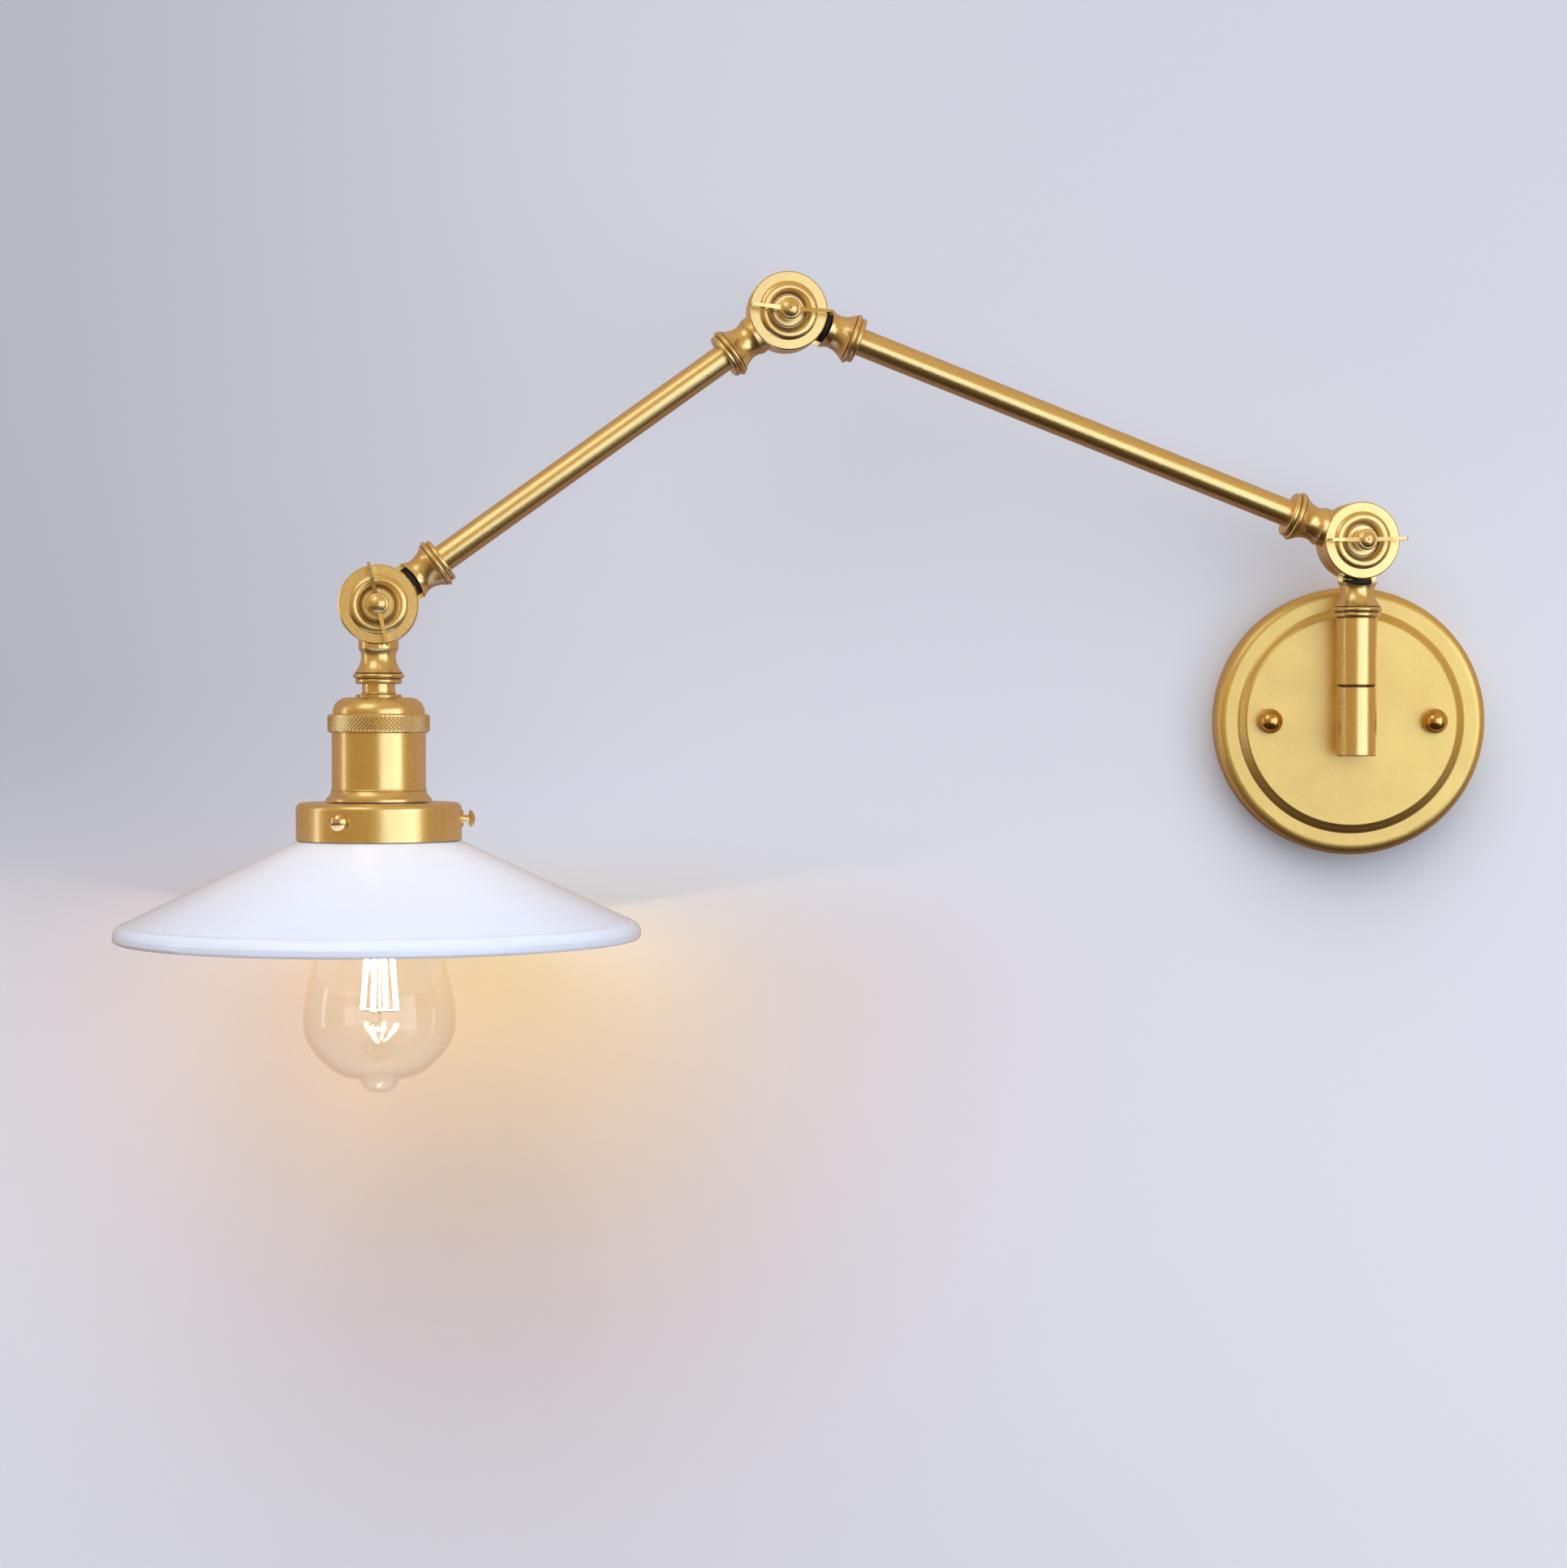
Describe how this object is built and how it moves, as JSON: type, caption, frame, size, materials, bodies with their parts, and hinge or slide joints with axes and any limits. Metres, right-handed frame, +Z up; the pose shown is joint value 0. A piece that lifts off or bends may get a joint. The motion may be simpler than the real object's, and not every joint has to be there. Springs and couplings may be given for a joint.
{
  "type": "articulating wall lamp",
  "caption": "Wall lamp with a round canopy, swivel post, two hinged tube arms with wing-screw knuckles, and a tilting socket head with a conical opal glass shade and a bulb.",
  "frame": {"origin": "centre of the wall plate, on the wall's surface", "axes": "+X to the right seen from the room, +Y into the wall, +Z up; the room is towards -Y"},
  "size_m": [0.586, 0.2227, 0.3467],
  "materials": {
    "satin_gold": "satin lacquer",
    "plate_gold": "satin lacquer, paler",
    "polished_gold": "polished",
    "zinc_steel": "zinc plated",
    "nickel_shell": "bright plated",
    "contact_brass": "bare",
    "white_ceramic": "unglazed",
    "terminal_plastic": "moulded",
    "black_fibre": "matt",
    "wire_insulation": "matt",
    "opal_glass": "milk white, gloss",
    "clear_glass": "clear",
    "light_stick": "lit warm white"
  },
  "bodies": {
    "wall_mount": {"wall_plate": "plate_gold", "mounting_strap": "zinc_steel", "strap_studs": "zinc_steel", "stud_lock_nuts": "zinc_steel", "ball_nuts": "polished_gold", "earth_screw": "zinc_steel", "terminal_block": "terminal_plastic", "supply_leads": "wire_insulation", "stub_nipple": "zinc_steel", "stub_collar": "satin_gold", "nipple_washer": "zinc_steel", "nipple_lock_nut": "zinc_steel", "post_lower": "satin_gold", "post_end_cap": "satin_gold", "thrust_washer": "black_fibre"},
    "swivel_post": {"post_upper": "satin_gold", "swivel_pin": "zinc_steel", "swivel_nut": "zinc_steel", "post_top_nipple": "zinc_steel", "post_lead": "wire_insulation", "knuckle_1_rear": "satin_gold", "hinge_nut_1": "zinc_steel", "friction_washer_1": "black_fibre"},
    "lower_arm": {"knuckle_1_front": "satin_gold", "arm_1_tube": "satin_gold", "arm_1_lead": "wire_insulation", "knuckle_2_rear": "satin_gold", "hinge_nut_2": "zinc_steel", "friction_washer_2": "black_fibre"},
    "upper_arm": {"knuckle_2_front": "satin_gold", "arm_2_tube": "satin_gold", "arm_2_lead": "wire_insulation", "knuckle_3_rear": "satin_gold", "hinge_nut_3": "zinc_steel", "friction_washer_3": "black_fibre"},
    "lamp_head": {"knuckle_3_front": "satin_gold", "neck_collar": "satin_gold", "neck_nipple": "zinc_steel", "neck_nut": "zinc_steel", "holder_cap": "satin_gold", "knurled_ring": "satin_gold", "holder_shell": "satin_gold", "holder_insulator": "white_ceramic", "screw_shell": "nickel_shell", "centre_contact": "contact_brass", "fitter_ring_nut": "white_ceramic", "shade_fitter": "satin_gold", "glass_shade": "opal_glass", "bulb_glass": "clear_glass", "bulb_base": "nickel_shell", "bulb_stem": "clear_glass", "filament_frame": "zinc_steel", "bulb_filaments": "light_stick", "head_lead": "wire_insulation"},
    "clamp_1": {"wing_screw_1": "satin_gold"},
    "clamp_2": {"wing_screw_2": "satin_gold"},
    "clamp_3": {"wing_screw_3": "satin_gold"},
    "shade_clamp_1": {"shade_screw_1": "polished_gold"},
    "shade_clamp_2": {"shade_screw_2": "polished_gold"},
    "shade_clamp_3": {"shade_screw_3": "polished_gold"}
  },
  "joints": [
    {"name": "post_swivel", "type": "hinge", "parent": "wall_mount", "child": "swivel_post", "pos_m": [0, -0.04, 0.0153], "axis": [0, 0, 1], "range_deg": [0, 160]},
    {"name": "shoulder_hinge", "type": "hinge", "parent": "swivel_post", "child": "lower_arm", "pos_m": [0, -0.04, 0.0784], "axis": [-0.1719, 0.9851, 0], "range_deg": [-45, 65]},
    {"name": "elbow_hinge", "type": "hinge", "parent": "lower_arm", "child": "upper_arm", "pos_m": [-0.24672, -0.08306, 0.17379], "axis": [-0.1719, 0.9851, 0], "range_deg": [-30, 110]},
    {"name": "head_tilt", "type": "hinge", "parent": "upper_arm", "child": "lamp_head", "pos_m": [-0.41669, -0.11272, 0.04889], "axis": [-0.1719, 0.9851, 0], "range_deg": [-45, 90]},
    {"name": "clamp_turn_1", "type": "hinge", "parent": "swivel_post", "child": "clamp_1", "pos_m": [0, -0.04, 0.0784], "axis": [0.1719, -0.9851, 0], "range_deg": [0, 360]},
    {"name": "clamp_turn_2", "type": "hinge", "parent": "lower_arm", "child": "clamp_2", "pos_m": [-0.24672, -0.08306, 0.17379], "axis": [0.1719, -0.9851, 0], "range_deg": [0, 360]},
    {"name": "clamp_turn_3", "type": "hinge", "parent": "upper_arm", "child": "clamp_3", "pos_m": [-0.41669, -0.11272, 0.04889], "axis": [0.1719, -0.9851, 0], "range_deg": [0, 360]},
    {"name": "shade_screw_travel_1", "type": "slide", "parent": "lamp_head", "child": "shade_clamp_1", "axis": [-0.2639, -0.9646, 0], "range_m": [0, 0.004]},
    {"name": "shade_screw_travel_2", "type": "slide", "parent": "lamp_head", "child": "shade_clamp_2", "axis": [0.9673, 0.2538, 0], "range_m": [0, 0.004]},
    {"name": "shade_screw_travel_3", "type": "slide", "parent": "lamp_head", "child": "shade_clamp_3", "axis": [-0.7034, 0.7108, 0], "range_m": [0, 0.004]}
  ]
}
